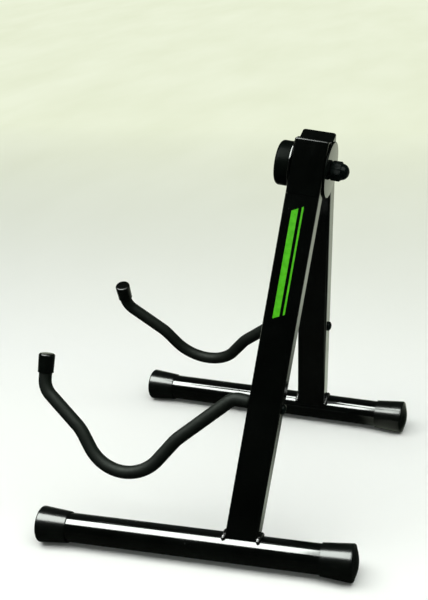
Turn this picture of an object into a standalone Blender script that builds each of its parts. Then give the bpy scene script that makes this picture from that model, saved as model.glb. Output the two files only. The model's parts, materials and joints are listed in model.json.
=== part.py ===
"""Folding A-frame stand for an electric guitar, modelled in metres with +Z up.

Two flat frames, each a rectangular leg welded to a round base tube with a bent
cradle arm bolted through it, turn on one bolt at the top. The guitar rests at
the front (-Y). The origin is on the floor under the middle of the stand.
"""
import math

import bmesh
import bpy
from mathutils import Matrix, Vector

MM = 0.001

# Attitude of the open stand
SPREAD_ANGLE = math.radians(20.0)
LEAN_ANGLE = math.radians(7.6)

# Gap that neighbouring pieces keep
FIT_GAP = 0.3 * MM

# Legs, drawn from rectangular tube
LEG_WIDTH = 27.8 * MM
LEG_DEPTH = 16.0 * MM
LEG_WALL = 1.2 * MM
LEG_CORNER = 2.0 * MM
PIVOT_UP_LEG = 322.0 * MM
HINGE_OFFSET = 14.3 * MM

# Base tubes and their rubber feet
TUBE_DIAMETER = 25.4 * MM
TUBE_WALL = 1.2 * MM
FRONT_REACH = 182.6 * MM
REAR_REACH = 95.4 * MM
FOOT_DIAMETER = 32.0 * MM
FOOT_LIP = 0.7 * MM
FOOT_SKIRT = 27.0 * MM
FOOT_END_WALL = 4.0 * MM
FOOT_DOME = 3.6 * MM
FOOT_ROUND = 1.6 * MM
FOOT_FLAT = 0.4 * MM

# Weld beads where a leg stands on its base tube
BEAD_RADIUS = 2.2 * MM
BEAD_STANDOFF = 0.9 * MM
BEAD_END_INSET = 0.6 * MM
BEAD_STEPS = 10

# Hinge heads, pushed into the tops of the leg tubes
DISC_RADIUS = 23.0 * MM
DISC_THICKNESS = 1.5 * MM
DISC_BEVEL = 0.4 * MM
TUBE_TOP_CLEARANCE = 0.8 * MM
SPIGOT_LENGTH = 30.0 * MM
SPIGOT_ROOT = 3.0 * MM
KNUCKLE_RADIUS = 9.5 * MM
CENTRE_KNUCKLE_LENGTH = 11.0 * MM
KNUCKLE_CLEARANCE = 0.8 * MM
HINGE_WASHER_THICKNESS = 0.8 * MM
HINGE_WASHER_RADIUS = 8.8 * MM
HEAD_EDGE_ROUND = 1.4 * MM

# Hinge bolt, cap nut and the rubber bumper behind the guitar
BOLT_DIAMETER = 8.0 * MM
HEX_ACROSS_FLATS = 13.0 * MM
BOLT_HEAD_HEIGHT = 5.3 * MM
NUT_ACROSS_FLATS = 14.4 * MM
NUT_HEX_LENGTH = 8.4 * MM
NUT_DOME_RADIUS = 6.7 * MM
NUT_DOME_LENGTH = 6.2 * MM
NUT_THREAD_DEPTH = 10.0 * MM
NUT_CHAMFER = 0.7 * MM
BUMPER_DIAMETER = 36.8 * MM
BUMPER_LENGTH = 13.0 * MM
BUMPER_ROUND = 3.0 * MM
BUMPER_CROWN = 0.9 * MM
BUMPER_POCKET_CLEARANCE = 0.4 * MM

# Cradle arms, a bent steel rod inside a soft sleeve
ARM_UP_LEG = 124.0 * MM
ROD_DIAMETER = 8.0 * MM
SLEEVE_DIAMETER = 11.5 * MM
HOLE_CLEARANCE = 0.3 * MM
TIP_DIAMETER = 14.0 * MM
TIP_LENGTH = 17.0 * MM
TIP_END_WALL = 2.5 * MM
TIP_ROUND = 1.8 * MM
ROD_SETBACK = 1.0 * MM

# Corners of the bent arm: distance behind the leg axis, height up the leg, bend radius
ARM_CREST = (-28.2 * MM, 124.0 * MM, 13.0 * MM)
ARM_KNEE = (-71.7 * MM, 77.5 * MM, 40.0 * MM)
ARM_CRADLE = (-113.3 * MM, 10.9 * MM, 38.6 * MM)
ARM_LIP = (-158.3 * MM, 66.7 * MM, 40.0 * MM)
ARM_UPTURN = (-198.2 * MM, 94.9 * MM, 13.0 * MM)
ARM_TIP = (-200.3 * MM, 122.0 * MM)

# Screw that holds an arm, driven from behind the leg
SCREW_DIAMETER = 5.0 * MM
SCREW_LENGTH = 13.0 * MM
SCREW_HEAD_DIAMETER = 9.0 * MM
SCREW_HEAD_HEIGHT = 2.8 * MM
SCREW_BORE_EXTRA = 1.5 * MM

# Facets on round pieces
ROUND_SIDES = 36
TUBE_SIDES = 40
ROD_SIDES = 16
SMALL_SIDES = 24
BEAD_SIDES = 14
CORNER_STEPS = 4
BEND_STEP = math.radians(13.5)
SHARP_ANGLE = math.radians(28.0)

# Sizes that follow from those above
BASE_ANGLE = math.atan(math.tan(LEAN_ANGLE) / math.cos(SPREAD_ANGLE))
BASE_AXIS_HEIGHT = FOOT_DIAMETER / 2 - FOOT_FLAT
SPIGOT_WIDTH = LEG_WIDTH - 2 * (LEG_WALL + FIT_GAP)
SPIGOT_DEPTH = LEG_DEPTH - 2 * (LEG_WALL + FIT_GAP)
SPIGOT_CORNER = LEG_CORNER - LEG_WALL
HEAD_INNER_FACE = HINGE_OFFSET - SPIGOT_DEPTH / 2
HEAD_OUTER_FACE = HINGE_OFFSET + LEG_DEPTH / 2
HEAD_TOP = (HEAD_INNER_FACE * math.cos(SPREAD_ANGLE) - FIT_GAP / 2) / math.sin(SPREAD_ANGLE)
LEG_TUBE_TOP = -(DISC_RADIUS + TUBE_TOP_CLEARANCE)
HEAD_BASE = LEG_TUBE_TOP + FIT_GAP
DISC_INNER = LEG_WIDTH / 2 + FIT_GAP
DISC_OUTER = DISC_INNER + DISC_THICKNESS
SIDE_KNUCKLE_INNER = CENTRE_KNUCKLE_LENGTH / 2 + HINGE_WASHER_THICKNESS + 2 * FIT_GAP
LEG_REAR_FACE = LEG_WIDTH / 2
ROD_END = LEG_REAR_FACE - LEG_WALL - FIT_GAP


def clear_scene():
    """Remove every object of the open file."""
    for item in list(bpy.data.objects):
        bpy.data.objects.remove(item, do_unlink=True)


def make_material(name, colour, roughness, metallic=0.0):
    """A Principled material of one colour."""
    material = bpy.data.materials.new(name)
    material.use_nodes = True
    shader = material.node_tree.nodes["Principled BSDF"]
    shader.inputs["Base Color"].default_value = (*colour, 1.0)
    shader.inputs["Roughness"].default_value = roughness
    shader.inputs["Metallic"].default_value = metallic
    return material


def black_paint(name):
    return make_material(name, (0.010, 0.011, 0.011), 0.18)


def foot_rubber(name):
    return make_material(name, (0.020, 0.023, 0.021), 0.42)


def sleeve_foam(name):
    return make_material(name, (0.016, 0.018, 0.017), 0.62)


def bare_steel(name):
    return make_material(name, (0.45, 0.45, 0.44), 0.30, 1.0)


def black_zinc(name):
    return make_material(name, (0.020, 0.022, 0.022), 0.28, 0.6)


def hinge_plastic(name):
    return make_material(name, (0.012, 0.013, 0.013), 0.24)


def white_nylon(name):
    return make_material(name, (0.62, 0.61, 0.56), 0.50)


def finish_mesh(bm, name):
    """Turn a bmesh into a mesh with outward faces and smooth round sides."""
    bmesh.ops.recalc_face_normals(bm, faces=bm.faces)
    mesh = bpy.data.meshes.new(name)
    bm.to_mesh(mesh)
    bm.free()
    mesh.shade_smooth()
    mesh.set_sharp_from_angle(angle=SHARP_ANGLE)
    return mesh


def add_object(name, mesh, parent, material=None, matrix=None):
    """Link a mesh as a named object under its parent."""
    item = bpy.data.objects.new(name, mesh)
    bpy.context.scene.collection.objects.link(item)
    item.parent = parent
    if matrix is not None:
        item.matrix_local = matrix
    if material is not None:
        item.data.materials.append(material)
    return item


def add_empty(name, parent=None, matrix=None):
    """An empty that carries other objects."""
    item = bpy.data.objects.new(name, None)
    bpy.context.scene.collection.objects.link(item)
    item.parent = parent
    if matrix is not None:
        item.matrix_local = matrix
    return item


def cut(item, name, mesh, parent, operation="DIFFERENCE", matrix=None):
    """Add a Boolean modifier whose hidden cutter is made from the mesh."""
    cutter = add_object(name, mesh, parent, matrix=matrix)
    cutter.hide_render = True
    cutter.display_type = "WIRE"
    modifier = item.modifiers.new(name, "BOOLEAN")
    modifier.operation = operation
    modifier.solver = "EXACT"
    modifier.object = cutter
    return cutter


def turned(name, profile, sides):
    """Spin a closed profile of (radius, distance along Y) points about the Y axis."""
    bm = bmesh.new()
    points = [bm.verts.new((radius, along, 0.0)) for radius, along in profile]
    edges = [bm.edges.new((points[i], points[(i + 1) % len(points)])) for i in range(len(points))]
    bmesh.ops.spin(bm, geom=points + edges, cent=(0, 0, 0), axis=(0, 1, 0),
                   angle=2 * math.pi, steps=sides, use_merge=True)
    bmesh.ops.remove_doubles(bm, verts=bm.verts, dist=1e-7)
    flat_edges = [edge for edge in bm.edges if not edge.link_faces]
    bmesh.ops.delete(bm, geom=flat_edges, context="EDGES")
    return finish_mesh(bm, name)


def extruded(name, outline, start, end):
    """Extrude a flat outline of (x, y) points along Z."""
    bm = bmesh.new()
    lower = [bm.verts.new((x, y, start)) for x, y in outline]
    face = bm.faces.new(lower)
    grown = bmesh.ops.extrude_face_region(bm, geom=[face])
    upper = [item for item in grown["geom"] if isinstance(item, bmesh.types.BMVert)]
    bmesh.ops.translate(bm, verts=upper, vec=(0, 0, end - start))
    return finish_mesh(bm, name)


def stacked(name, levels):
    """Solid through flat outlines of (x, y) points, each at its own height along Z."""
    bm = bmesh.new()
    rings = [[bm.verts.new((x, y, height)) for x, y in outline] for outline, height in levels]
    for first, second in zip(rings, rings[1:]):
        join_rings(bm, first, second)
    for end in (0, -1):
        bm.faces.new(rings[end])
    return finish_mesh(bm, name)


def hollow_extruded(name, outer, inner, start, end):
    """Extrude the wall between two outlines with equal numbers of points."""
    bm = bmesh.new()
    loops = []
    for outline in (outer, inner):
        for height in (start, end):
            loops.append([bm.verts.new((x, y, height)) for x, y in outline])
    count = len(outer)
    walls = ((loops[0], loops[1]), (loops[3], loops[2]), (loops[2], loops[0]), (loops[1], loops[3]))
    for first, second in walls:
        for i in range(count):
            j = (i + 1) % count
            bm.faces.new((first[i], first[j], second[j], second[i]))
    return finish_mesh(bm, name)


def rounded_rectangle(width_x, width_y, corner, centre_x=0.0):
    """Outline of a rectangle with rounded corners."""
    points = []
    for quarter, (sx, sy) in enumerate(((1, 1), (-1, 1), (-1, -1), (1, -1))):
        for step in range(CORNER_STEPS + 1):
            angle = (quarter + step / CORNER_STEPS) * math.pi / 2
            points.append((centre_x + sx * (width_x / 2 - corner) + corner * math.cos(angle),
                           sy * (width_y / 2 - corner) + corner * math.sin(angle)))
    return points


def rod_along_y(name, radius, start, end, sides=SMALL_SIDES):
    """A plain round bar along Y."""
    return turned(name, [(0, start), (radius, start), (radius, end), (0, end)], sides)


def swept(name, path, outer_radius, inner_radius=None):
    """Sweep a round section along a path that lies in the YZ plane."""
    bm = bmesh.new()
    radii = [outer_radius] if inner_radius is None else [outer_radius, inner_radius]
    layers = [[] for _ in radii]
    for i, point in enumerate(path):
        ahead = path[min(i + 1, len(path) - 1)] - path[max(i - 1, 0)]
        ahead.normalize()
        across = Vector((1, 0, 0))
        up = ahead.cross(across)
        for layer, radius in zip(layers, radii):
            ring = []
            for k in range(ROD_SIDES):
                angle = 2 * math.pi * (k + 0.5) / ROD_SIDES
                ring.append(bm.verts.new(point + radius * (math.cos(angle) * across
                                                           + math.sin(angle) * up)))
            layer.append(ring)
    for layer in layers:
        for first, second in zip(layer, layer[1:]):
            join_rings(bm, first, second)
    for end in (0, -1):
        if inner_radius is None:
            bm.faces.new(layers[0][end])
        else:
            join_rings(bm, layers[0][end], layers[1][end])
    return finish_mesh(bm, name)


def join_rings(bm, first, second):
    """Quads between two rings with equal numbers of points."""
    count = len(first)
    for k in range(count):
        j = (k + 1) % count
        bm.faces.new((first[k], first[j], second[j], second[k]))


def filleted(corners):
    """Path through corners of (y, z, bend radius), each rounded by an arc in the YZ plane."""
    places = [Vector((0, corner[0], corner[1])) for corner in corners]
    path = [places[0]]
    for i in range(1, len(places) - 1):
        back = (places[i - 1] - places[i]).normalized()
        onward = (places[i + 1] - places[i]).normalized()
        half = back.angle(onward) / 2
        radius = corners[i][2]
        centre = places[i] + (back + onward).normalized() * radius / math.sin(half)
        start = places[i] + back * radius / math.tan(half) - centre
        end = places[i] + onward * radius / math.tan(half) - centre
        turn = start.angle(end)
        steps = max(2, math.ceil(turn / BEND_STEP))
        for step in range(steps + 1):
            share = step / steps
            spoke = (start * math.sin((1 - share) * turn) + end * math.sin(share * turn)) / math.sin(turn)
            path.append(centre + spoke)
    path.append(places[-1])
    return path


def side_matrix(side):
    """From a side's own axes (Y along the bolt, Z up the leg) to the stand's."""
    return Matrix.Rotation(-LEAN_ANGLE, 4, "X") @ Matrix.Rotation(-side * SPREAD_ANGLE, 4, "Y")


def pivot_height():
    """Height of the bolt's middle over the floor."""
    foot = side_matrix(1) @ Vector((HINGE_OFFSET, 0, -PIVOT_UP_LEG))
    return BASE_AXIS_HEIGHT - foot.z


def base_matrix(side):
    """Place of the base tube's middle, Y along the tube, in the side's own axes."""
    shift = Matrix.Translation((side * HINGE_OFFSET, 0, -PIVOT_UP_LEG))
    return shift @ Matrix.Rotation(BASE_ANGLE, 4, "X")


def make_leg_tube(name, side, parent):
    """Rectangular tube, coped onto the base tube, drilled for the arm and its screw."""
    centre = side * HINGE_OFFSET
    outer = rounded_rectangle(LEG_DEPTH, LEG_WIDTH, LEG_CORNER, centre)
    inner = rounded_rectangle(LEG_DEPTH - 2 * LEG_WALL, LEG_WIDTH - 2 * LEG_WALL,
                              LEG_CORNER - LEG_WALL, centre)
    mesh = hollow_extruded(name, outer, inner, -PIVOT_UP_LEG, LEG_TUBE_TOP)
    leg = add_object(name, mesh, parent, black_paint(name))
    cope = rod_along_y(name + "_cope", TUBE_DIAMETER / 2 + FIT_GAP, -LEG_WIDTH, LEG_WIDTH, TUBE_SIDES)
    cut(leg, name + "_cope", cope, parent, matrix=base_matrix(side))
    arm_place = Matrix.Translation((centre, 0, ARM_UP_LEG - PIVOT_UP_LEG))
    arm_hole = rod_along_y(name + "_arm_hole", ROD_DIAMETER / 2 + HOLE_CLEARANCE, -LEG_WIDTH, 0)
    cut(leg, name + "_arm_hole", arm_hole, parent, matrix=arm_place)
    screw_hole = rod_along_y(name + "_screw_hole", SCREW_DIAMETER / 2 + HOLE_CLEARANCE, 0, LEG_WIDTH)
    cut(leg, name + "_screw_hole", screw_hole, parent, matrix=arm_place)


def make_base_tube(name, side, parent):
    """Round tube that lies on the floor, open at both ends under its feet."""
    outer = TUBE_DIAMETER / 2
    inner = outer - TUBE_WALL
    inset = FOOT_END_WALL + FIT_GAP
    front = -FRONT_REACH + inset
    rear = REAR_REACH - inset
    profile = [(inner, front), (outer, front), (outer, rear), (inner, rear)]
    mesh = turned(name, profile, TUBE_SIDES)
    add_object(name, mesh, parent, black_paint(name), base_matrix(side))


def foot_profile():
    """Half section of a foot: open at 0, flaring to its rim, with a shallow dome."""
    bore = TUBE_DIAMETER / 2 + FIT_GAP
    lip = bore + FOOT_LIP
    rim = FOOT_DIAMETER / 2
    profile = [(0.0, FOOT_SKIRT - FOOT_END_WALL), (bore, FOOT_SKIRT - FOOT_END_WALL), (bore, 0.0),
               (lip - 0.3 * FOOT_LIP, 0.0), (lip, 0.4 * FOOT_LIP), (rim, FOOT_SKIRT - FOOT_ROUND)]
    for step in (1, 2, 3):
        angle = step / 3 * math.radians(80.0)
        profile.append((rim - FOOT_ROUND * (1 - math.cos(angle)),
                        FOOT_SKIRT - FOOT_ROUND + FOOT_ROUND * math.sin(angle)))
    edge_radius, edge_along = profile[-1]
    for share in (0.65, 0.3, 0.0):
        profile.append((edge_radius * share, edge_along + FOOT_DOME * (1 - share ** 2)))
    return profile


def make_foot(name, side, end, parent):
    """Rubber foot pushed over an end of the base tube, flat where it meets the floor."""
    mesh = turned(name, foot_profile(), ROUND_SIDES)
    bm = bmesh.new()
    bm.from_mesh(mesh)
    bmesh.ops.bisect_plane(bm, geom=bm.verts[:] + bm.edges[:] + bm.faces[:], dist=1e-7,
                           plane_co=(0, 0, -BASE_AXIS_HEIGHT), plane_no=(0, 0, -1), clear_outer=True)
    open_edges = [edge for edge in bm.edges if edge.is_boundary]
    bmesh.ops.holes_fill(bm, edges=open_edges, sides=0)
    mesh = finish_mesh(bm, name)
    reach = (REAR_REACH if end > 0 else FRONT_REACH) - FOOT_SKIRT
    upright = side_matrix(side).inverted().to_3x3() @ Vector((0, 0, 1))
    along = base_matrix(side).to_3x3() @ Vector((0, end, 0))
    across = along.cross(upright)
    turn = Matrix((across, along, upright)).transposed().to_4x4()
    place = base_matrix(side) @ Vector((0, end * reach, 0))
    add_object(name, mesh, parent, foot_rubber(name), Matrix.Translation(place) @ turn)


def make_weld_bead(name, side, end, parent):
    """Bead across the front (-1) or rear (1) of the leg where it stands on the base tube."""
    centre = side * HINGE_OFFSET
    path = bead_path(side, end)
    bead = add_object(name, swept_across(name, path), parent, black_paint(name))
    leg_outline = rounded_rectangle(LEG_DEPTH + 2 * FIT_GAP, LEG_WIDTH + 2 * FIT_GAP,
                                    LEG_CORNER + FIT_GAP, centre)
    leg_room = extruded(name + "_leg_room", leg_outline, -PIVOT_UP_LEG - TUBE_DIAMETER,
                        -PIVOT_UP_LEG + TUBE_DIAMETER)
    cut(bead, name + "_leg_room", leg_room, parent)
    tube_room = rod_along_y(name + "_tube_room", TUBE_DIAMETER / 2 + FIT_GAP, -LEG_WIDTH, LEG_WIDTH,
                            TUBE_SIDES)
    cut(bead, name + "_tube_room", tube_room, parent, matrix=base_matrix(side))


def bead_path(side, end):
    """Middle line of a weld bead, laid over the round of the base tube, with its radius."""
    radius = TUBE_DIAMETER / 2 + BEAD_STANDOFF
    along = end * (LEG_WIDTH / 2 + BEAD_STANDOFF)
    path = []
    for step in range(BEAD_STEPS + 1):
        share = 2 * step / BEAD_STEPS - 1
        across = share * (LEG_DEPTH / 2 - BEAD_END_INSET)
        lift = (math.sqrt(radius ** 2 - across ** 2) + along * math.sin(BASE_ANGLE)) / math.cos(BASE_ANGLE)
        thickness = BEAD_RADIUS * math.sqrt(1 - 0.8 * share ** 6)
        path.append((Vector((side * HINGE_OFFSET + across, along, lift - PIVOT_UP_LEG)), thickness))
    return path


def swept_across(name, path):
    """Round section carried along a path that runs in the XZ plane, with its own radius at each point."""
    bm = bmesh.new()
    rings = []
    for i, (point, radius) in enumerate(path):
        ahead = path[min(i + 1, len(path) - 1)][0] - path[max(i - 1, 0)][0]
        ahead.normalize()
        across = Vector((0, 1, 0))
        up = ahead.cross(across)
        ring = []
        for k in range(BEAD_SIDES):
            angle = 2 * math.pi * k / BEAD_SIDES
            ring.append(bm.verts.new(point + radius * (math.cos(angle) * across + math.sin(angle) * up)))
        rings.append(ring)
    for first, second in zip(rings, rings[1:]):
        join_rings(bm, first, second)
    for end in (0, -1):
        bm.faces.new(rings[end])
    return finish_mesh(bm, name)


def arm_corners():
    """Corners of the arm in a side's own axes, from inside the leg to the tip."""
    drop = -PIVOT_UP_LEG
    corners = [(ROD_END, ARM_UP_LEG + drop, 0.0)]
    for along, up, radius in (ARM_CREST, ARM_KNEE, ARM_CRADLE, ARM_LIP, ARM_UPTURN):
        corners.append((along, up + drop, radius))
    corners.append((ARM_TIP[0], ARM_TIP[1] + drop, 0.0))
    return corners


def shortened(corners, start_y=None, end_cut=0.0):
    """The same corners with the path begun at another Y and its end drawn back."""
    result = list(corners)
    if start_y is not None:
        result[0] = (start_y, corners[0][1], 0.0)
    last = Vector(corners[-1][:2])
    before = Vector(corners[-2][:2])
    last = last + (before - last).normalized() * end_cut
    result[-1] = (last.x, last.y, 0.0)
    return result


def make_arm_rod(name, side, parent):
    """Bent steel rod from inside the leg to the tip, drilled for its screw."""
    corners = shortened(arm_corners(), end_cut=TIP_END_WALL + FIT_GAP + ROD_SETBACK)
    mesh = swept(name, filleted(corners), ROD_DIAMETER / 2)
    shift = Matrix.Translation((side * HINGE_OFFSET, 0, 0))
    rod = add_object(name, mesh, parent, bare_steel(name), shift)
    depth = ROD_END - SCREW_LENGTH - SCREW_BORE_EXTRA
    bore = rod_along_y(name + "_bore", SCREW_DIAMETER / 2 + HOLE_CLEARANCE, depth, LEG_WIDTH, ROD_SIDES)
    place = Matrix.Translation((side * HINGE_OFFSET, 0, ARM_UP_LEG - PIVOT_UP_LEG))
    cut(rod, name + "_bore", bore, parent, matrix=place)


def make_arm_sleeve(name, side, parent):
    """Soft sleeve over the rod from the leg's front face to the tip."""
    corners = shortened(arm_corners(), -LEG_WIDTH / 2 - FIT_GAP, TIP_END_WALL + FIT_GAP)
    mesh = swept(name, filleted(corners), SLEEVE_DIAMETER / 2, ROD_DIAMETER / 2 + FIT_GAP)
    shift = Matrix.Translation((side * HINGE_OFFSET, 0, 0))
    add_object(name, mesh, parent, sleeve_foam(name), shift)


def make_arm_tip(name, side, parent):
    """Round-ended cap pushed over the tip of the sleeve."""
    radius = TIP_DIAMETER / 2
    bore = SLEEVE_DIAMETER / 2 + FIT_GAP
    profile = [(0.0, -TIP_END_WALL), (bore, -TIP_END_WALL), (bore, -TIP_LENGTH),
               (radius, -TIP_LENGTH)]
    for step in range(4):
        angle = step / 3 * math.pi / 2
        profile.append((radius - TIP_ROUND * (1 - math.cos(angle)),
                        -TIP_ROUND + TIP_ROUND * math.sin(angle)))
    profile.append((0.0, 0.0))
    corners = arm_corners()
    tip = Vector((side * HINGE_OFFSET, corners[-1][0], corners[-1][1]))
    before = Vector((side * HINGE_OFFSET, corners[-2][0], corners[-2][1]))
    along = (tip - before).normalized()
    across = Vector((1, 0, 0))
    turn = Matrix((across, along, across.cross(along))).transposed().to_4x4()
    add_object(name, turned(name, profile, SMALL_SIDES), parent, foot_rubber(name),
               Matrix.Translation(tip) @ turn)


def make_arm_screw(name, side, parent):
    """Pan-head screw through the leg's rear wall into the rod."""
    head_start = LEG_REAR_FACE + FIT_GAP
    head_end = head_start + SCREW_HEAD_HEIGHT
    shank = SCREW_DIAMETER / 2
    head = SCREW_HEAD_DIAMETER / 2
    profile = [(0.0, ROD_END - SCREW_LENGTH), (shank, ROD_END - SCREW_LENGTH), (shank, head_start),
               (head, head_start), (head, head_start + 0.4 * SCREW_HEAD_HEIGHT),
               (0.8 * head, head_end - 0.12 * SCREW_HEAD_HEIGHT), (0.45 * head, head_end),
               (0.0, head_end)]
    place = Matrix.Translation((side * HINGE_OFFSET, 0, ARM_UP_LEG - PIVOT_UP_LEG))
    add_object(name, turned(name, profile, ROD_SIDES), parent, black_zinc(name), place)


def knuckle_mesh(name, side, start, end):
    """D-shaped knuckle round the bolt, reaching back into its own head."""
    root = side * HINGE_OFFSET
    points = [(root, KNUCKLE_RADIUS)]
    half = ROUND_SIDES // 2
    for step in range(half + 1):
        angle = math.pi / 2 + side * step / half * math.pi
        points.append((KNUCKLE_RADIUS * math.cos(angle), KNUCKLE_RADIUS * math.sin(angle)))
    points.append((root, -KNUCKLE_RADIUS))
    bm = bmesh.new()
    face = bm.faces.new([bm.verts.new((x, start, z)) for x, z in points])
    grown = bmesh.ops.extrude_face_region(bm, geom=[face])
    far = [item for item in grown["geom"] if isinstance(item, bmesh.types.BMVert)]
    bmesh.ops.translate(bm, verts=far, vec=(0, end - start, 0))
    return finish_mesh(bm, name)


def head_body(name, side):
    """Block on top of the leg tube, flush with its outer face, its exposed top edges eased."""
    levels = [(head_outline(side, 0.0), HEAD_BASE)]
    for step in range(4):
        angle = step / 3 * math.pi / 2
        inset = HEAD_EDGE_ROUND * (1 - math.cos(angle))
        height = HEAD_TOP - HEAD_EDGE_ROUND * (1 - math.sin(angle))
        levels.append((head_outline(side, inset), height))
    return stacked(name, levels)


def head_outline(side, inset):
    """Outline of the block, drawn in from all its faces but the inner one."""
    outer_face = HEAD_OUTER_FACE - inset
    centre = side * (HEAD_INNER_FACE + outer_face) / 2
    return rounded_rectangle(outer_face - HEAD_INNER_FACE, LEG_WIDTH - 2 * inset, LEG_CORNER, centre)


def make_hinge_head(name, side, spans, parent):
    """Hinge head with a knuckle over each span and room for the other head's knuckles."""
    head = add_object(name, head_body(name, side), parent, hinge_plastic(name))
    spigot_outline = rounded_rectangle(SPIGOT_DEPTH, SPIGOT_WIDTH, SPIGOT_CORNER, side * HINGE_OFFSET)
    spigot = extruded(name + "_spigot", spigot_outline, LEG_TUBE_TOP - SPIGOT_LENGTH,
                      HEAD_BASE + SPIGOT_ROOT)
    cut(head, name + "_spigot", spigot, parent, "UNION")
    for number, (start, end) in enumerate(spans):
        cut(head, f"{name}_knuckle_{number}", knuckle_mesh(name, side, start, end), parent, "UNION")
    for number, (start, end) in enumerate(free_spans(spans, LEG_WIDTH / 2)):
        room = rod_along_y(name, KNUCKLE_RADIUS + KNUCKLE_CLEARANCE, start, end, ROUND_SIDES)
        cut(head, f"{name}_room_{number}", room, parent)
    bore = rod_along_y(name, BOLT_DIAMETER / 2 + FIT_GAP, -LEG_WIDTH, LEG_WIDTH)
    cut(head, name + "_bore", bore, parent)


def free_spans(spans, reach):
    """Stretches of the bolt that the spans leave free, run past the ends of the head."""
    edges = [-reach - MM] + [value for span in spans for value in span] + [reach + MM]
    pairs = zip(edges[0::2], edges[1::2])
    return [(start, end) for start, end in pairs if end - start > 2 * MM]


def make_disc(name, start, end, parent):
    """Steel disc clamped against the ends of both heads."""
    bore = BOLT_DIAMETER / 2 + FIT_GAP
    profile = [(bore, start), (DISC_RADIUS - DISC_BEVEL, start), (DISC_RADIUS, start + DISC_BEVEL),
               (DISC_RADIUS, end - DISC_BEVEL), (DISC_RADIUS - DISC_BEVEL, end), (bore, end)]
    add_object(name, turned(name, profile, TUBE_SIDES), parent, black_paint(name))


def make_hinge_washer(name, start, parent):
    """Nylon washer between two knuckles."""
    end = start + HINGE_WASHER_THICKNESS
    bore = BOLT_DIAMETER / 2 + FIT_GAP
    profile = [(bore, start), (HINGE_WASHER_RADIUS, start), (HINGE_WASHER_RADIUS, end), (bore, end)]
    add_object(name, turned(name, profile, SMALL_SIDES), parent, white_nylon(name))


def hexagon_mesh(name, across_flats, start, end, chamfer_start, chamfer_end):
    """Hexagonal prism along Y with its corners chamfered at the chosen ends."""
    corner = across_flats / math.sqrt(3)
    bm = bmesh.new()
    ring = []
    for k in range(6):
        angle = math.radians(60 * k)
        ring.append(bm.verts.new((corner * math.cos(angle), start, corner * math.sin(angle))))
    face = bm.faces.new(ring)
    grown = bmesh.ops.extrude_face_region(bm, geom=[face])
    far = [item for item in grown["geom"] if isinstance(item, bmesh.types.BMVert)]
    bmesh.ops.translate(bm, verts=far, vec=(0, end - start, 0))
    chosen = []
    for edge in bm.edges:
        for wanted, along in ((chamfer_start, start), (chamfer_end, end)):
            if wanted and all(abs(vert.co.y - along) < 1e-6 for vert in edge.verts):
                chosen.append(edge)
    bmesh.ops.bevel(bm, geom=chosen, offset=NUT_CHAMFER, segments=1, affect="EDGES")
    return finish_mesh(bm, name)


def make_bolt(name, parent):
    """Hinge bolt, its hexagon head inside the bumper and its end inside the cap nut."""
    head_face = -DISC_OUTER - FIT_GAP
    end = DISC_OUTER + FIT_GAP + NUT_THREAD_DEPTH - MM
    mesh = hexagon_mesh(name, HEX_ACROSS_FLATS, head_face - BOLT_HEAD_HEIGHT, head_face, True, False)
    bolt = add_object(name, mesh, parent, black_zinc(name))
    shank = rod_along_y(name + "_shank", BOLT_DIAMETER / 2, head_face - 2 * MM, end)
    cut(bolt, name + "_shank", shank, parent, "UNION")


def make_cap_nut(name, parent):
    """Domed nut on the rear end of the bolt."""
    start = DISC_OUTER + FIT_GAP
    hex_end = start + NUT_HEX_LENGTH
    mesh = hexagon_mesh(name, NUT_ACROSS_FLATS, start, hex_end, False, True)
    nut = add_object(name, mesh, parent, black_zinc(name))
    profile = [(0.0, hex_end - MM), (NUT_DOME_RADIUS, hex_end - MM)]
    for step in range(6):
        angle = step / 5 * math.pi / 2
        profile.append((NUT_DOME_RADIUS * math.cos(angle), hex_end + NUT_DOME_LENGTH * math.sin(angle)))
    profile[-1] = (0.0, hex_end + NUT_DOME_LENGTH)
    cut(nut, name + "_dome", turned(name, profile, SMALL_SIDES), parent, "UNION")
    bore = rod_along_y(name, BOLT_DIAMETER / 2 + FIT_GAP, start - MM, start + NUT_THREAD_DEPTH)
    cut(nut, name + "_bore", bore, parent)


def make_bumper(name, parent):
    """Rubber bumper that the back of the guitar leans on, hollow over the bolt head."""
    back = -DISC_OUTER - FIT_GAP
    front = back - BUMPER_LENGTH
    radius = BUMPER_DIAMETER / 2
    pocket = HEX_ACROSS_FLATS / math.sqrt(3) + BUMPER_POCKET_CLEARANCE
    pocket_end = back - BOLT_HEAD_HEIGHT - BUMPER_POCKET_CLEARANCE
    profile = [(0.0, pocket_end), (pocket, pocket_end), (pocket, back), (radius, back)]
    for step in range(4):
        angle = step / 3 * math.radians(80.0)
        profile.append((radius - BUMPER_ROUND * (1 - math.cos(angle)),
                        front + BUMPER_CROWN + BUMPER_ROUND - BUMPER_ROUND * math.sin(angle)))
    edge_radius, edge_along = profile[-1]
    for share in (0.6, 0.0):
        profile.append((edge_radius * share, edge_along - (edge_along - front) * (1 - share ** 2)))
    add_object(name, turned(name, profile, ROUND_SIDES), parent, foot_rubber(name))


def make_side(word, side, spans, parent):
    """All pieces that swing together on one side of the hinge."""
    make_hinge_head(word + "_hinge_head", side, spans, parent)
    make_leg_tube(word + "_leg_tube", side, parent)
    make_base_tube(word + "_base_tube", side, parent)
    make_weld_bead(word + "_front_weld", side, -1, parent)
    make_weld_bead(word + "_rear_weld", side, 1, parent)
    make_foot(word + "_front_foot", side, -1, parent)
    make_foot(word + "_rear_foot", side, 1, parent)
    make_arm_rod(word + "_arm_rod", side, parent)
    make_arm_sleeve(word + "_arm_sleeve", side, parent)
    make_arm_tip(word + "_arm_tip", side, parent)
    make_arm_screw(word + "_arm_screw", side, parent)


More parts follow.
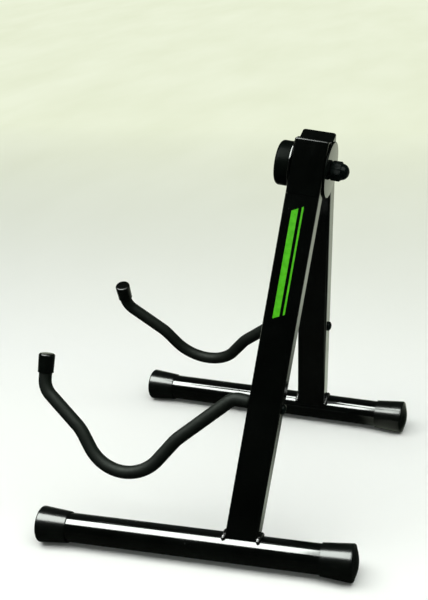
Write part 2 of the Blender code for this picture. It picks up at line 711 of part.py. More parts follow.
def make_hinge(parent):
    """Bolt, nut, discs, washers and bumper, all on the hinge axis."""
    make_bolt("hinge_bolt", parent)
    make_cap_nut("hinge_cap_nut", parent)
    make_disc("front_hinge_disc", -DISC_OUTER, -DISC_INNER, parent)
    make_disc("rear_hinge_disc", DISC_INNER, DISC_OUTER, parent)
    washer_start = CENTRE_KNUCKLE_LENGTH / 2 + FIT_GAP
    make_hinge_washer("front_hinge_washer", -washer_start - HINGE_WASHER_THICKNESS, parent)
    make_hinge_washer("rear_hinge_washer", washer_start, parent)
    make_bumper("back_bumper", parent)


def stand_on_origin(root):
    """Move the stand so that the middle of its underside is at the origin."""
    bpy.context.view_layer.update()
    graph = bpy.context.evaluated_depsgraph_get()
    low = Vector((math.inf, math.inf, math.inf))
    high = -low
    for item in bpy.context.scene.objects:
        if item.type != "MESH" or item.hide_render:
            continue
        shaped = item.evaluated_get(graph)
        for vert in shaped.data.vertices:
            place = shaped.matrix_world @ vert.co
            low = Vector(map(min, low, place))
            high = Vector(map(max, high, place))
    root.location -= Vector(((low.x + high.x) / 2, (low.y + high.y) / 2, low.z))
    bpy.context.view_layer.update()


def main():
    clear_scene()
    root = add_empty("stand")
    pivot = Matrix.Translation((0, 0, pivot_height()))
    hinge_axis = add_empty("hinge_axis", root, pivot @ Matrix.Rotation(-LEAN_ANGLE, 4, "X"))
    right_side = add_empty("right_side", root, pivot @ side_matrix(1))
    left_side = add_empty("left_side", root, pivot @ side_matrix(-1))
    reach = LEG_WIDTH / 2
    outer_spans = [(-reach, -SIDE_KNUCKLE_INNER), (SIDE_KNUCKLE_INNER, reach)]
    centre_span = [(-CENTRE_KNUCKLE_LENGTH / 2, CENTRE_KNUCKLE_LENGTH / 2)]
    make_side("right", 1, outer_spans, right_side)
    make_side("left", -1, centre_span, left_side)
    make_hinge(hinge_axis)
    stand_on_origin(root)


main()
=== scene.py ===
"""Studio scene of a folding A-frame guitar stand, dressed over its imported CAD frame.

Lengths are in metres. A side's own axes have their origin on the hinge: Y runs
along the bolt to the rear and Z up the leg. The guitar rests at the front (-Y).
An outline is a list of (a, b, radius) corners, each rounded by its radius.
"""
import json
import math

import bmesh
import bpy
from mathutils import Matrix, Vector, noise


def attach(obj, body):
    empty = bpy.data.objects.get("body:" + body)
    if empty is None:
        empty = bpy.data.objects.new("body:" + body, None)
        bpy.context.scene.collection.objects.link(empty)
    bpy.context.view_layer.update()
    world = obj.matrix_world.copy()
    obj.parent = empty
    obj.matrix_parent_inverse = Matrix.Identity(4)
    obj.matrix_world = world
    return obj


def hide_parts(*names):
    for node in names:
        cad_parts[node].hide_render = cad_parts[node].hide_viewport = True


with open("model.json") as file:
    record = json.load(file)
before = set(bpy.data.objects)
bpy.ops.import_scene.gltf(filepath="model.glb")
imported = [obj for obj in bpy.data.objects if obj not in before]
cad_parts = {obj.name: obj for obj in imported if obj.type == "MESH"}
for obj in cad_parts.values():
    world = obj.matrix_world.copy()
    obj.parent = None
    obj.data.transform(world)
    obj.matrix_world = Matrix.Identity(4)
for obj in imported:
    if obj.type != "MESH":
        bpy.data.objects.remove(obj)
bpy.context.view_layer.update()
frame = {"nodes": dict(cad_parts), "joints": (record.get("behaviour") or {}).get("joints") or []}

MM = 0.001
SHARP_ANGLE = 32.0

# Place of the hinge, from the joint
JOINT = frame["joints"][0]
PIVOT = Vector(JOINT["pos_m"])
LEAN_ANGLE = math.atan2(JOINT["axis"][2], -JOINT["axis"][1])
SPREAD_ANGLE = math.radians(20.0)
SIDES = {"right": 1, "left": -1}
BODY = {"right": "right_frame", "left": "left_frame"}
END_WORD = {-1: "front", 1: "rear"}

# Legs: LEG_DOWN runs from the hinge to the base tube's middle line, and COPE_ROW is the
# height of the last straight row of points above the cope
LEG_WIDTH = 27.8 * MM
LEG_DEPTH = 16.0 * MM
LEG_WALL = 1.2 * MM
LEG_CORNER = 2.0 * MM
LEG_DOWN = 322.0 * MM
LEG_OFFSET = 14.3 * MM
LEG_OVERLAP = 0.6 * MM
LEG_EASE = 0.2 * MM
COPE_ROW = -270.0 * MM
FIT_GAP = 0.3 * MM
CLOSE_GAP = 0.05 * MM
CUT_REACH = 20.0 * MM

# Base tubes and feet
TUBE_RADIUS = 12.7 * MM
TUBE_WALL = 1.2 * MM
FRONT_REACH = 182.6 * MM
REAR_REACH = 95.4 * MM
FOOT_RADIUS = 16.0 * MM
FOOT_LIP = 0.7 * MM
FOOT_SKIRT = 27.0 * MM
FOOT_END_WALL = 4.0 * MM
FOOT_DOME = 3.6 * MM
FOOT_FLAT = 0.4 * MM
FOOT_DOME_STEPS = 12
AXIS_HEIGHT = FOOT_RADIUS - FOOT_FLAT
BASE_ANGLE = math.atan(math.tan(LEAN_ANGLE) / math.cos(SPREAD_ANGLE))

# Weld beads
BEAD_RADIUS = 2.3 * MM
BEAD_STANDOFF = 0.75 * MM
BEAD_INSET = 0.3 * MM
BEAD_OVERRUN = 1.9 * MM
BEAD_RIPPLES = 9
STEPS_PER_RIPPLE = 8
RIPPLE_DEPTH = 0.10
RIPPLE_LEAN = 0.45 * MM
BEAD_UNEVENNESS = 0.05
BEAD_NOISE_SCALE = 420.0

# Hinge
DISC_RADIUS = 23.0 * MM
DISC_THICKNESS = 1.5 * MM
DISC_RIM = 0.4 * MM
DISC_INNER = LEG_WIDTH / 2 + FIT_GAP
DISC_OUTER = DISC_INNER + DISC_THICKNESS
LEG_TUBE_TOP = -23.8 * MM
HEAD_BASE = LEG_TUBE_TOP + FIT_GAP
SPIGOT_LENGTH = 12.0 * MM
SPIGOT_ROOT = 3.0 * MM
SPIGOT_CORNER = 0.8 * MM
SPIGOT_WIDTH = LEG_WIDTH - 2 * (LEG_WALL + FIT_GAP)
SPIGOT_DEPTH = LEG_DEPTH - 2 * (LEG_WALL + FIT_GAP)
HEAD_INNER_FACE = LEG_OFFSET - SPIGOT_DEPTH / 2
HEAD_OUTER_FACE = LEG_OFFSET + LEG_DEPTH / 2
HEAD_ROUND = 1.4 * MM
HEAD_ROUND_STEPS = 6
HEAD_TOP = (HEAD_INNER_FACE * math.cos(SPREAD_ANGLE) - FIT_GAP / 2) / math.sin(SPREAD_ANGLE)
KNUCKLE_RADIUS = 9.5 * MM
KNUCKLE_CLEARANCE = 0.8 * MM
KNUCKLE_STEPS = 32
CENTRE_KNUCKLE = 5.5 * MM
SIDE_KNUCKLE = 6.9 * MM
KNUCKLES = {"right": ((-LEG_WIDTH / 2, -SIDE_KNUCKLE), (SIDE_KNUCKLE, LEG_WIDTH / 2)),
            "left": ((-CENTRE_KNUCKLE, CENTRE_KNUCKLE),)}
BOLT_RADIUS = 4.0 * MM
NUT_ACROSS_FLATS = 14.4 * MM
NUT_LENGTH = 8.7 * MM
NUT_THREAD_DEPTH = 8.0 * MM
NUT_CHAMFER_SLOPE = 1.6 * math.tan(math.radians(28.0))
NUT_DOME = 6.7 * MM
NUT_DOME_RISE = 6.2 * MM
NUT_DOME_STEPS = 10
BUMPER_RADIUS = 18.4 * MM
BUMPER_LENGTH = 13.0 * MM
BUMPER_POCKET = 7.9 * MM
BUMPER_POCKET_DEPTH = 5.9 * MM

# Cradle arms: the bends are (Y, height above the base tube's middle, radius) in millimetres
ARM_UP_LEG = 124.0 * MM
ROD_RADIUS = 4.0 * MM
SLEEVE_RADIUS = 5.75 * MM
SLEEVE_UNEVENNESS = 0.007
SLEEVE_NOISE_SCALE = 55.0
TIP_RADIUS = 7.0 * MM
TIP_LENGTH = 17.0 * MM
TIP_END_WALL = 2.5 * MM
ARM_CORNERS = ((-28.2, 124.0, 13.0), (-71.7, 77.5, 40.0), (-113.3, 10.9, 38.6),
               (-158.3, 66.7, 40.0), (-198.2, 94.9, 18.0))
ARM_TIP = (-200.3, 122.0)
ARM_STEP = 2.0 * MM
NEAR_TIP_EXTRA = 3.8 * MM

# Arm screws
SCREW_RADIUS = 2.5 * MM
SCREW_HOLE_RADIUS = 2.8 * MM
SCREW_HEAD_RADIUS = 4.5 * MM
SCREW_HEAD_HEIGHT = 3.05 * MM
RECESS_START = 1.3 * MM
RECESS_CUT_END = 4.0 * MM
RECESS_REACH = 2.1 * MM
RECESS_HALF_WIDTH = 0.45 * MM

# Green stripes on the outer face of the near leg: front edge and width across the leg
STRIPES = ((-6.2 * MM, 5.4 * MM), (1.8 * MM, 1.6 * MM))
STRIPE_TOP = -34.0 * MM
STRIPE_BOTTOM = -122.0 * MM
STRIPE_SLANT = 0.5
PRINT_THICKNESS = 0.06 * MM
PRINT_SINK = 0.02 * MM
PRINT_BEVEL = 0.04 * MM

# Camera, fitted to the edges of the stand in the photograph
CAMERA_PLACE = Vector((0.772796, 0.284075, 0.545150))
CAMERA_AZIMUTH = math.radians(20.7196)
CAMERA_ELEVATION = math.radians(23.5408)
CAMERA_ROLL = math.radians(-4.1655)
CAMERA_LENS = 60.625
CAMERA_SENSOR = 36.0
CAMERA_CLIP = (0.01, 50.0)

# Floor: it turns into an even backdrop past FAR_X and FAR_DISTANCE. Gloss sees painted shade
# on it, dark near the stand, and painted reflections, bright past BRIGHT_X and on slanted strips.
# A strip fades in over its first pair of values across the slant, and out along X over its second.
FLOOR_RINGS = (0.3, 1.0, 3.0, 9.0)
FLOOR_SIDES = 96
FLOOR_WHITE = (0.96, 0.97, 0.95)
FLOOR_IN_GLOSS = (0.94, 1.0, 0.84)
FLOOR_PALE = ((0.80, 0.85, 0.65), (0.85, 0.90, 0.71))
FAR_X = (-0.2, -1.3)
FAR_DISTANCE = (1.0, 2.2)
FLOOR_PAINTED_SHADE = 0.04
FLOOR_SLANT = 0.265
BRIGHT_X = (-0.40, -0.14)
PAINTED_REFLECTION_STRIPS = (((0.072, 0.088), (0.03, 0.10)), ((0.0, 0.018), (-0.16, -0.125)))
STRIP_FADE_OUT = (0.018, 0.030)

# Lamps over the near side, each facing a point of the floor moved along Y by its shift:
# name, distance, size across and up, radiance, colour, shift and what it stays hidden from
LAMP_ELEVATION = math.radians(75.5)
LAMP_TARGET = Vector((0.05, 0, 0.05))
SOFT_WHITE = (0.98, 1.0, 0.97)
COOL_GREEN = (0.94, 1.0, 0.94)
LAMPS = (("softbox", 1.25, (2.6, 0.9), 3.1, SOFT_WHITE, 0.0, "visible_glossy"),
         ("softbox_gloss", 1.15, (2.6, 0.86), 12.0, COOL_GREEN, 0.0, "visible_diffuse"),
         ("front_gloss", 1.05, (1.3, 0.78), 36.0, COOL_GREEN, -0.65, "visible_diffuse"))

# World: a dim even sky, a backdrop for the camera, and for gloss a room that brightens along X
SKY_COLOUR = (0.94, 1.0, 0.95)
SKY_STRENGTH = 0.3
BACKDROP_COLOUR = (0.80, 0.86, 0.72)
ROOM_COLOUR = (0.88, 1.0, 0.90)
ROOM_X = (-0.2, -0.9)
ROOM_STRENGTH = (0.004, 0.10)


# Places

def hinge_matrix():
    """Place of the hinge, Y along the bolt."""
    return Matrix.Translation(PIVOT) @ Matrix.Rotation(-LEAN_ANGLE, 4, "X")


def side_matrix(side):
    """Place of a side's own axes, Z up its leg."""
    return hinge_matrix() @ Matrix.Rotation(-side * SPREAD_ANGLE, 4, "Y")


def base_matrix(side):
    """Place of the base tube's middle, Y along the tube."""
    shift = Matrix.Translation((side * LEG_OFFSET, 0, -LEG_DOWN))
    return side_matrix(side) @ shift @ Matrix.Rotation(BASE_ANGLE, 4, "X")


def turned_to(x_axis, y_axis, z_axis):
    """Rotation that carries the three axes to these directions."""
    return Matrix((x_axis, y_axis, z_axis)).transposed().to_4x4()


# Shapes

def fillet(corners, closed=False, step=math.radians(11.0)):
    """Points of an outline, with an arc at each rounded corner."""
    path = []
    count = len(corners)
    for i, (a, b, radius) in enumerate(corners):
        here = Vector((a, b))
        if radius == 0 or (not closed and i in (0, count - 1)):
            path.append(here)
            continue
        back = (Vector(corners[i - 1][:2]) - here).normalized()
        onward = (Vector(corners[(i + 1) % count][:2]) - here).normalized()
        half = back.angle(onward) / 2
        centre = here + (back + onward).normalized() * radius / math.sin(half)
        start = here + back * radius / math.tan(half) - centre
        end = here + onward * radius / math.tan(half) - centre
        turn = start.angle(end)
        steps = max(3, math.ceil(turn / step))
        for k in range(steps + 1):
            share = k / steps
            spoke = start * math.sin((1 - share) * turn) + end * math.sin(share * turn)
            path.append(centre + spoke / math.sin(turn))
    return path


def finish(bm, name, place, material, sharp=SHARP_ANGLE):
    """Turn a bmesh into a linked object, smooth except at its sharp edges."""
    bmesh.ops.recalc_face_normals(bm, faces=bm.faces)
    mesh = bpy.data.meshes.new(name)
    bm.to_mesh(mesh)
    bm.free()
    mesh.shade_smooth()
    mesh.set_sharp_from_angle(angle=math.radians(sharp))
    mesh.materials.append(material)
    item = bpy.data.objects.new(name, mesh)
    bpy.context.scene.collection.objects.link(item)
    item.matrix_world = place
    return item


def band(bm, first, second):
    """Faces between two rings, either of which may be a single point."""
    count = max(len(first), len(second))
    if count == 1:
        return
    for k in range(count):
        j = (k + 1) % count
        loop = [first[k % len(first)], first[j % len(first)],
                second[j % len(second)], second[k % len(second)]]
        bm.faces.new(list(dict.fromkeys(loop)))


def turned(profile, sides=96, closed=True):
    """Spin a profile of (radius, along) pairs, or functions of the angle, about the Y axis."""
    bm = bmesh.new()
    rings = []
    for entry in profile:
        if not callable(entry) and entry[0] < 1e-9:
            rings.append([bm.verts.new((0, entry[1], 0))])
            continue
        ring = []
        for k in range(sides):
            angle = 2 * math.pi * k / sides
            radius, along = entry(angle) if callable(entry) else entry
            ring.append(bm.verts.new((radius * math.cos(angle), along, radius * math.sin(angle))))
        rings.append(ring)
    for first, second in zip(rings, rings[1:] + rings[:1] if closed else rings[1:]):
        band(bm, first, second)
    return bm


def turned_outline(corners, sides, closed=False):
    """Spin an outline of (radius, along, rounding) corners about the Y axis."""
    return turned([tuple(point) for point in fillet(corners, closed)], sides, closed)


def plug(radius, start, end, sides=48):
    """Cylinder along Y that cuts a round hole."""
    return turned([(0.0, start), (radius, start), (radius, end), (0.0, end)], sides, closed=False)


def swept(sections, sides, across=Vector((1, 0, 0))):
    """Skin over rings given as (centre, direction, radius or function of the angle)."""
    bm = bmesh.new()
    rings = []
    for centre, ahead, radius in sections:
        up = ahead.normalized().cross(across)
        ring = []
        for k in range(sides):
            angle = 2 * math.pi * k / sides
            reach = radius(angle) if callable(radius) else radius
            spoke = math.cos(angle) * across + math.sin(angle) * up
            ring.append(bm.verts.new(centre + reach * spoke))
        rings.append(ring)
    for first, second in zip(rings, rings[1:]):
        band(bm, first, second)
    return bm, rings


def rounded_rectangle(width_x, width_y, corner, centre_x=0.0, support=0.2 * MM, steps=8):
    """Round-cornered outline, with support a point beside each arc, which keeps its flats flat."""
    points = []
    for quarter, (sx, sy) in enumerate(((1, 1), (-1, 1), (-1, -1), (1, -1))):
        centre = Vector((centre_x + sx * (width_x / 2 - corner), sy * (width_y / 2 - corner)))
        start = quarter * math.pi / 2
        lead = Vector((math.cos(start), math.sin(start)))
        trail = Vector((-lead.y, lead.x))
        if support:
            points.append(centre + lead * corner - trail * support)
        for step in range(steps + 1):
            angle = start + step / steps * math.pi / 2
            points.append(centre + corner * Vector((math.cos(angle), math.sin(angle))))
        if support:
            points.append(centre + trail * corner - lead * support)
    return points


def stack(levels):
    """Solid through (outline, height) levels along Z."""
    bm = bmesh.new()
    rings = [[bm.verts.new((p.x, p.y, height)) for p in outline] for outline, height in levels]
    for first, second in zip(rings, rings[1:]):
        band(bm, first, second)
    for ring in (rings[0], rings[-1]):
        bm.faces.new(ring)
    return bm


def block(low, high):
    """Plain box between two corners, used only to cut other shapes."""
    bm = bmesh.new()
    bmesh.ops.create_cube(bm, size=1.0)
    bmesh.ops.scale(bm, vec=Vector(high) - Vector(low), verts=bm.verts)
    bmesh.ops.translate(bm, vec=(Vector(high) + Vector(low)) / 2, verts=bm.verts)
    return bm


def combine(item, changes):
    """Apply Booleans to an object with (bmesh, operation) pairs in the same axes."""
    helpers = []
    for bm, operation in changes:
        helper = finish(bm, item.name + "_cutter", item.matrix_world, item.data.materials[0])
        modifier = item.modifiers.new("cut", "BOOLEAN")
        modifier.operation = operation
        modifier.solver = "EXACT"
        modifier.object = helper
        helpers.append(helper)
    bake_modifiers(item)
    for helper in helpers:
        bpy.data.objects.remove(helper, do_unlink=True)


def bake_modifiers(item):
    """Replace an object's mesh by what its modifiers make of it."""
    bpy.context.view_layer.update()
    graph = bpy.context.evaluated_depsgraph_get()
    mesh = bpy.data.meshes.new_from_object(item.evaluated_get(graph))
    item.modifiers.clear()
    item.data = mesh
    mesh.shade_smooth()
    mesh.set_sharp_from_angle(angle=math.radians(SHARP_ANGLE))


def even_normals(item):
    """Weigh the normals by face area, so that broad flats stay flat beside rounded edges."""
    modifier = item.modifiers.new("normals", "WEIGHTED_NORMAL")
    modifier.keep_sharp = True
    modifier.weight = 90


def dress(item, body, *nodes):
    """Hide the CAD nodes a piece stands for, and let the piece move with a body."""
    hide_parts(*nodes)
    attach(item, body)


# Materials, their colours as a darker and a lighter shade

NOISE_RANGE = (0.3, 0.7)
BLACK_COAT = ((0.0006, 0.0009, 0.0007), (0.0016, 0.0022, 0.0018))
WELD_COAT = ((0.0008, 0.0011, 0.0009), (0.003, 0.0036, 0.003))
COAT_DUST = (0.05, 0.055, 0.05)
BLACK_RUBBER = ((0.0008, 0.0014, 0.0010), (0.0020, 0.0030, 0.0023))
RUBBER_SCUFF = (0.02, 0.023, 0.02)
SLEEVE_BLACK = ((0.0014, 0.0028, 0.0016), (0.0030, 0.0050, 0.0032))
ZINC_BLACK = ((0.0010, 0.0022, 0.0018), (0.0030, 0.0050, 0.0044))
ZINC_WORN = (0.05, 0.055, 0.052)
NYLON_WHITE = ((0.52, 0.51, 0.45), (0.64, 0.63, 0.57))
STEEL_GREY = ((0.36, 0.36, 0.35), (0.52, 0.52, 0.50))
PRINT_GREEN = ((0.044, 0.33, 0.005), (0.076, 0.45, 0.010))
PRINT_PIT = (0.01, 0.05, 0.006)


def add_node(tree, kind, inputs=(), **settings):
    """New node with its settings, and a value or a link for each of its inputs."""
    made = tree.nodes.new(kind)
    for key, value in settings.items():
        setattr(made, key, value)
    for key, value in dict(inputs).items():
        if isinstance(value, bpy.types.NodeSocket):
            tree.links.new(value, made.inputs[key])
        else:
            made.inputs[key].default_value = value
    return made


def map_range(tree, value, low, high, to_low, to_high):
    """Value carried from one range to another, and held at its ends."""
    return add_node(tree, "ShaderNodeMapRange", {"Value": value, "From Min": low, "From Max": high,
                                                 "To Min": to_low, "To Max": to_high}).outputs[0]


class Shader:
    """A Principled material with short calls for the nodes round it."""

    def __init__(self, name, **constants):
        self.material = bpy.data.materials.new(name)
        self.material.use_nodes = True
        self.tree = self.material.node_tree
        self.principled = self.tree.nodes["Principled BSDF"]
        for key, value in constants.items():
            self.principled.inputs[key.replace("_", " ")].default_value = value
        self.place = self.node("ShaderNodeTexCoord").outputs["Object"]

    def node(self, kind, inputs=(), **settings):
        return add_node(self.tree, kind, inputs, **settings)

    def noise(self, scale, detail=2.0, stretch=(1, 1, 1), shift=0.0):
        """Noise value at a scale in cycles per metre. A shift moves it off its neighbours."""
        mapping = self.node("ShaderNodeMapping", {"Vector": self.place, "Scale": stretch,
                                                  "Location": (shift, shift, shift)})
        return self.node("ShaderNodeTexNoise", {"Vector": mapping.outputs[0], "Scale": scale,
                                                "Detail": detail}).outputs["Fac"]

    def cells(self, scale):
        return self.node("ShaderNodeTexVoronoi", {"Vector": self.place,
                                                  "Scale": scale}).outputs["Distance"]

    def spread(self, value, low, high, to_low=0.0, to_high=1.0):
        return map_range(self.tree, value, low, high, to_low, to_high)

    def drift(self, noise_value, first, second):
        """Number that drifts between two with a noise value."""
        return self.spread(noise_value, *NOISE_RANGE, first, second)

    def maths(self, operation, first, second):
        return self.node("ShaderNodeMath", {0: first, 1: second}, operation=operation).outputs[0]

    def mix(self, share, first, second):
        """Colour between two, each a socket or an (r, g, b)."""
        first, second = (value if isinstance(value, bpy.types.NodeSocket) else (*value, 1.0)
                         for value in (first, second))
        return self.node("ShaderNodeMix", {0: share, 6: first, 7: second},
                         data_type="RGBA").outputs[2]

    def blend(self, noise_value, first, second):
        """Colour that drifts between two with a noise value."""
        return self.mix(self.spread(noise_value, *NOISE_RANGE), first, second)

    def spotted(self, colour, spots, strength, over):
        """Colour with another laid over it, at a strength, where the spots are."""
        return self.mix(self.maths("MULTIPLY", spots, strength), colour, over)

    def bump(self, height, distance, strength=1.0, **inputs):
        inputs |= {"Height": height, "Distance": distance, "Strength": strength}
        return self.node("ShaderNodeBump", inputs).outputs[0]

    def surface(self, colour, rough, normal):
        """The material, with its colour, roughness and normal linked."""
        for key, value in (("Base Color", colour), ("Roughness", rough), ("Normal", normal)):
            self.tree.links.new(value, self.principled.inputs[key])
        return self.material


def gloss_paint():
    """Black powder coat: fine orange peel, faint smudges and a few specks of dust."""
    shader = Shader("gloss_black_paint", Specular_IOR_Level=0.3)
    specks = shader.spread(shader.noise(850.0, 1.0, shift=3.0), 0.77, 0.82)
    smudges = shader.spread(shader.noise(48.0, 4.0, shift=9.0), 0.35, 0.75, 0.09, 0.15)
    colour = shader.blend(shader.noise(22.0, 3.0), *BLACK_COAT)
    colour = shader.spotted(colour, specks, 0.25, COAT_DUST)
    rough = shader.maths("MAXIMUM", smudges, shader.maths("MULTIPLY", specks, 0.4))
    peel = shader.bump(shader.noise(300.0, shift=5.0), 0.010 * MM)
    return shader.surface(colour, rough, peel)


def weld_paint():
    """The same coat over a weld bead, with grit caught under it."""
    shader = Shader("painted_weld", Specular_IOR_Level=0.3)
    cloud = shader.spread(shader.noise(400.0, 3.0), 0.35, 0.7)
    rough = shader.drift(shader.noise(700.0, shift=2.0), 0.10, 0.24)
    grit = shader.bump(shader.noise(1300.0, 3.0, shift=7.0), 0.06 * MM)
    return shader.surface(shader.mix(cloud, *WELD_COAT), rough, grit)


def satin_rubber(name, shine, smooth, dull):
    """Moulded rubber: satin skin with fine grain, cloudy bloom and light scuffs."""
    shader = Shader(name, Specular_IOR_Level=shine)
    scuffs = shader.spread(shader.noise(240.0, 3.0, stretch=(1, 0.3, 1), shift=4.0), 0.68, 0.76)
    colour = shader.blend(shader.noise(60.0, 4.0), *BLACK_RUBBER)
    colour = shader.spotted(colour, scuffs, 0.12, RUBBER_SCUFF)
    rough = shader.drift(shader.noise(90.0, 3.0, shift=6.0), smooth, dull)
    grain = shader.bump(shader.noise(2400.0, shift=1.0), 0.010 * MM)
    waves = shader.bump(shader.noise(120.0, shift=8.0), 0.02 * MM, Normal=grain)
    return shader.surface(colour, rough, waves)


def soft_sleeve():
    """Matt soft tubing: closed fine cells and a slightly uneven skin."""
    shader = Shader("matt_soft_tube", Specular_IOR_Level=0.045, Sheen_Weight=0.002,
                    Sheen_Roughness=0.5)
    colour = shader.blend(shader.noise(150.0, 4.0), *SLEEVE_BLACK)
    rough = shader.drift(shader.noise(420.0, 3.0, shift=3.0), 0.50, 0.62)
    cells = shader.bump(shader.cells(1500.0), 0.03 * MM, 0.8)
    skin = shader.bump(shader.noise(240.0, 3.0, shift=5.0), 0.04 * MM, Normal=cells)
    return shader.surface(colour, rough, skin)


def moulded_plastic():
    """Satin glass-filled nylon of the hinge heads, with a faint flow pattern."""
    shader = Shader("moulded_black_plastic", Specular_IOR_Level=0.16)
    colour = shader.blend(shader.noise(90.0, 4.0, stretch=(1, 1, 0.35)), *BLACK_COAT)
    rough = shader.drift(shader.noise(160.0, 3.0, stretch=(1, 1, 0.4), shift=2.0), 0.08, 0.14)
    grain = shader.bump(shader.noise(1100.0, shift=4.0), 0.008 * MM)
    return shader.surface(colour, rough, grain)


def black_zinc():
    """Black zinc plating, worn a little lighter in small spots."""
    shader = Shader("black_zinc_plating", Metallic=0.03, Specular_IOR_Level=0.03)
    worn = shader.spread(shader.noise(900.0, shift=3.0), 0.68, 0.76)
    colour = shader.blend(shader.noise(350.0, 3.0), *ZINC_BLACK)
    colour = shader.spotted(colour, worn, 0.10, ZINC_WORN)
    rough = shader.drift(shader.noise(500.0, 3.0, shift=6.0), 0.15, 0.22)
    grain = shader.bump(shader.noise(1600.0, shift=5.0), 0.006 * MM)
    return shader.surface(colour, rough, grain)


def natural_nylon():
    """Slightly translucent off-white washers."""
    shader = Shader("natural_nylon", Subsurface_Weight=0.15, Specular_IOR_Level=0.4)
    colour = shader.blend(shader.noise(500.0, 3.0), *NYLON_WHITE)
    rough = shader.drift(shader.noise(900.0, shift=2.0), 0.38, 0.52)
    grain = shader.bump(shader.noise(2000.0, shift=4.0), 0.01 * MM)
    return shader.surface(colour, rough, grain)


def drawn_steel():
    """Bare drawn steel of the rods inside the sleeves."""
    shader = Shader("drawn_steel", Metallic=1.0)
    streaks = shader.noise(700.0, 3.0, stretch=(1, 0.08, 0.08))
    rough = shader.drift(shader.noise(300.0, 3.0, shift=2.0), 0.25, 0.42)
    grain = shader.bump(streaks, 0.01 * MM)
    return shader.surface(shader.blend(streaks, *STEEL_GREY), rough, grain)


def green_print():
    """Printed green stripes, with small pits where the coat under them shows."""
    shader = Shader("green_print", Specular_IOR_Level=0.12)
    pits = shader.spread(shader.noise(1500.0, shift=3.0), 0.69, 0.74)
    colour = shader.blend(shader.noise(220.0, 4.0), *PRINT_GREEN)
    colour = shader.spotted(colour, pits, 0.6, PRINT_PIT)
    rough = shader.drift(shader.noise(300.0, shift=6.0), 0.25, 0.36)
    grain = shader.bump(shader.noise(900.0, shift=1.0), 0.01 * MM)
    return shader.surface(colour, rough, grain)


# Pieces of one side

def cope_height(side, x, y):
    """Height in a side's own axes at which the leg sinks into its base tube."""
    radius = TUBE_RADIUS - LEG_OVERLAP
    lift = math.sqrt(max(radius ** 2 - (x - side * LEG_OFFSET) ** 2, 0.0))
    return -LEG_DOWN + (lift + y * math.sin(BASE_ANGLE)) / math.cos(BASE_ANGLE)


def make_leg_tube(word, side, paint):
    """Rectangular tube, eased at its top, coped onto the base tube and drilled for the arm."""
    centre = side * LEG_OFFSET
    top = HEAD_BASE - CLOSE_GAP
    rows = ((None, 0.0), (COPE_ROW, 0.0), (top - MM, 0.0), (top, 0.0),
            (top, LEG_WALL - LEG_EASE), (top - LEG_EASE, LEG_WALL), (None, LEG_WALL))
    bm = bmesh.new()
    rings = []
    for height, inset in rows:
        outline = rounded_rectangle(LEG_DEPTH - 2 * inset, LEG_WIDTH - 2 * inset,
                                    LEG_CORNER - inset, centre)
        heights = [cope_height(side, p.x, p.y) if height is None else height for p in outline]
        rings.append([bm.verts.new((p.x, p.y, z)) for p, z in zip(outline, heights)])
    for first, second in zip(rings, rings[1:] + rings[:1]):
        band(bm, first, second)
    leg = finish(bm, word + "_leg", side_matrix(side), paint)
    arm_hole = plug(ROD_RADIUS + FIT_GAP, -CUT_REACH, 0.0)
    screw_hole = plug(SCREW_HOLE_RADIUS, 0.0, CUT_REACH)
    for hole in (arm_hole, screw_hole):
        bmesh.ops.translate(hole, vec=(centre, 0, ARM_UP_LEG - LEG_DOWN), verts=hole.verts)
    combine(leg, [(arm_hole, "DIFFERENCE"), (screw_hole, "DIFFERENCE")])
    even_normals(leg)
    dress(leg, BODY[word], word + "_leg_tube")


def make_base_tube(word, side, paint):
    """Round tube, open inside its feet."""
    inset = FOOT_END_WALL + FIT_GAP
    front, rear = -FRONT_REACH + inset, REAR_REACH - inset
    inner = TUBE_RADIUS - TUBE_WALL
    corners = [(inner, front, 0.2 * MM), (TUBE_RADIUS, front, 0.3 * MM),
               (TUBE_RADIUS, rear, 0.3 * MM), (inner, rear, 0.2 * MM)]
    bm = turned_outline(corners, 128, closed=True)
    tube = finish(bm, word + "_base", base_matrix(side), paint)
    dress(tube, BODY[word], word + "_base_tube")


def bead_line(side, end):
    """Middle line of a weld bead, over the round of the base tube."""
    radius = TUBE_RADIUS + BEAD_STANDOFF
    along = end * (LEG_WIDTH / 2 + BEAD_STANDOFF)
    low, high = sorted((side * (BEAD_INSET - LEG_DEPTH / 2),
                        side * (LEG_DEPTH / 2 + BEAD_OVERRUN)))
    steps = BEAD_RIPPLES * STEPS_PER_RIPPLE
    line = []
    for step in range(steps + 1):
        across = low + (high - low) * step / steps
        lift = math.sqrt(radius ** 2 - across ** 2) + along * math.sin(BASE_ANGLE)
        height = lift / math.cos(BASE_ANGLE) - LEG_DOWN
        line.append(Vector((side * LEG_OFFSET + across, along, height)))
    return line


def make_weld(word, side, end, paint):
    """Rippled bead across the front or rear of the leg, where it stands on the base tube."""
    line = bead_line(side, end)
    steps = len(line) - 1
    sections = []
    for step, centre in enumerate(line):
        ahead = line[min(step + 1, steps)] - line[max(step - 1, 0)]
        share = abs(2 * step / steps - 1)
        groove = 1 - math.sin(math.pi * (step % STEPS_PER_RIPPLE) / STEPS_PER_RIPPLE) ** 0.7
        uneven = BEAD_UNEVENNESS * noise.noise(centre * BEAD_NOISE_SCALE)
        swell = 1.0 - RIPPLE_DEPTH * groove + uneven
        size = BEAD_RADIUS * math.sqrt(max(1 - share ** 8, 0.02)) * swell
        sections.append((centre, ahead, size))
    bm, rings = swept(sections, 24, Vector((0, 1, 0)))
    outward = math.pi * (0.25 if end > 0 else 0.75)
    for (_, ahead, _), ring in zip(sections, rings):
        for k, vert in enumerate(ring):
            bulge = math.cos(2 * math.pi * k / len(ring) - outward)
            vert.co += ahead.normalized() * RIPPLE_LEAN * bulge
    for ring in (rings[0], rings[-1]):
        bm.faces.new(ring)
    name = f"{word}_{END_WORD[end]}"
    bead = finish(bm, name + "_bead", side_matrix(side), paint, sharp=60.0)
    dress(bead, BODY[word], name + "_weld")


